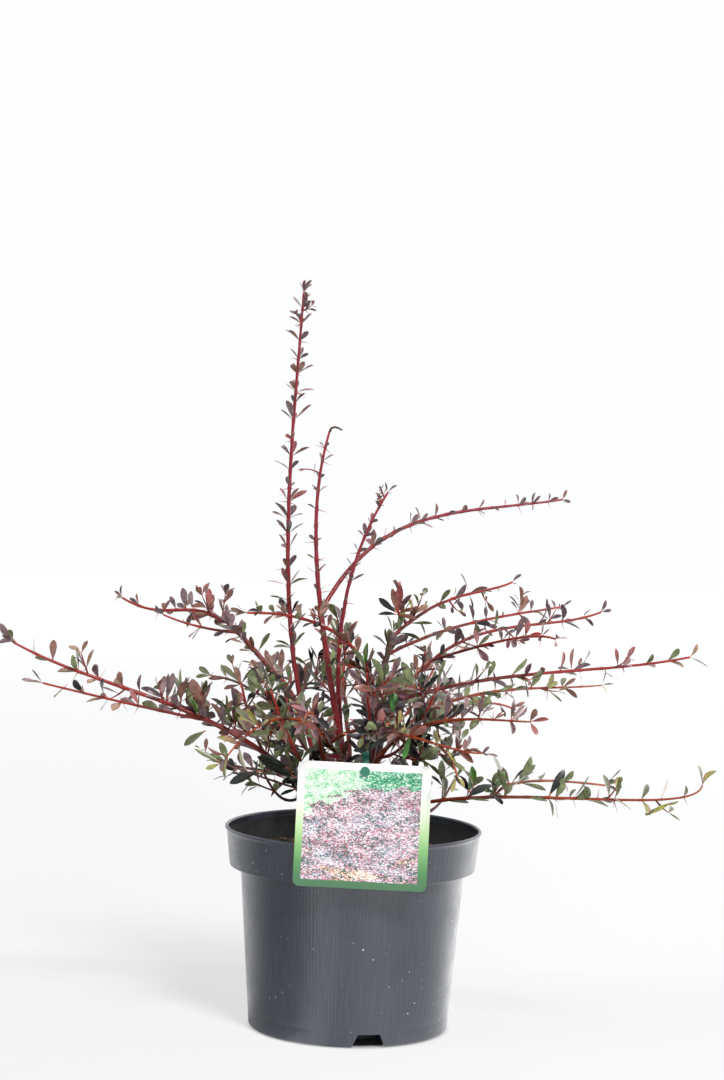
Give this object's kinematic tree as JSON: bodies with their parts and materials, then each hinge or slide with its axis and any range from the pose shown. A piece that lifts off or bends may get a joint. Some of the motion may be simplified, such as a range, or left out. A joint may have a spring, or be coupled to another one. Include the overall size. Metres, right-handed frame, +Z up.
{
  "type": "potted japanese barberry",
  "caption": "Potted barberry shrub: thorny red shoots with small plum, bronze and olive leaves arch out of a short woody foot in a round tapered plastic pot with a hung card.",
  "frame": {"origin": "centre of the pot's flat underside", "axes": "+Z up, the way the tallest shoot grows; the card hangs on the -Y side, which is the front, and +X is to the right seen from the front"},
  "size_m": [0.5149, 0.3897, 0.5514],
  "materials": {
    "pot_plastic": "dark blue-grey moulded polypropylene, fine upright striations, satin, scuffed",
    "soil": "dark moist potting compost with orange-brown bark bits, rough",
    "card": null,
    "strap": "teal-green soft plastic strap",
    "old_bark": "brown furrowed bark of older wood",
    "young_bark": "smooth crimson bark of young shoots, semi-gloss",
    "leaf_plum": "plum-purple leaves, satin",
    "leaf_bronze": "bronze-tan leaves, satin",
    "leaf_rose": "rose-red young leaves, satin",
    "leaf_olive": "olive-green inner leaves, satin",
    "leaf_wine": "wine-purple leaves, satin"
  },
  "bodies": {
    "root": {"pot": "pot_plastic", "soil": "soil", "trunk": "old_bark", "card": "card", "strap": "strap", "limb_tall_left": "young_bark", "limb_centre_upright": "young_bark", "limb_right_upright": "young_bark", "limb_high_right": "young_bark", "limb_arching_over": "young_bark", "limb_upper_left": "old_bark", "limb_long_left": "old_bark", "limb_front_left_arch": "young_bark", "limb_low_left": "old_bark", "limb_right_cane": "old_bark", "limb_low_cane": "old_bark", "limb_right_low": "old_bark", "limb_front_right": "young_bark", "limb_front_right_arch": "young_bark", "limb_low_right": "old_bark", "limb_back_left": "old_bark", "limb_back_centre": "old_bark", "limb_back_right": "old_bark", "limb_front_low": "young_bark", "foliage_tall_left": "leaf_wine", "foliage_centre_upright": "leaf_bronze", "foliage_right_upright": "leaf_plum", "foliage_high_right": "leaf_wine", "foliage_arching_over": "leaf_rose", "foliage_upper_left": "leaf_plum", "foliage_long_left": "leaf_bronze", "foliage_front_left_arch": "leaf_rose", "foliage_low_left": "leaf_plum", "foliage_right_high": "leaf_rose", "foliage_right_back": "leaf_plum", "foliage_right_forked": "leaf_wine", "foliage_right_long": "leaf_bronze", "foliage_right_low": "leaf_olive", "foliage_front_right": "leaf_plum", "foliage_front_right_arch": "leaf_rose", "foliage_low_right": "leaf_olive", "foliage_back_left": "leaf_bronze", "foliage_back_centre": "leaf_plum", "foliage_back_right": "leaf_wine", "foliage_back_far_left": "leaf_olive", "foliage_back_far_right": "leaf_bronze", "foliage_front_low": "leaf_wine", "foliage_inner_left": "leaf_plum", "foliage_inner_front_left": "leaf_olive", "foliage_inner_front": "leaf_plum", "foliage_inner_front_right": "leaf_olive", "foliage_inner_right": "leaf_bronze", "foliage_inner_back_left": "leaf_bronze", "foliage_inner_back": "leaf_olive", "foliage_inner_back_right": "leaf_plum", "foliage_inner_low_left": "leaf_olive", "foliage_inner_low_right": "leaf_olive"}
  },
  "joints": []
}
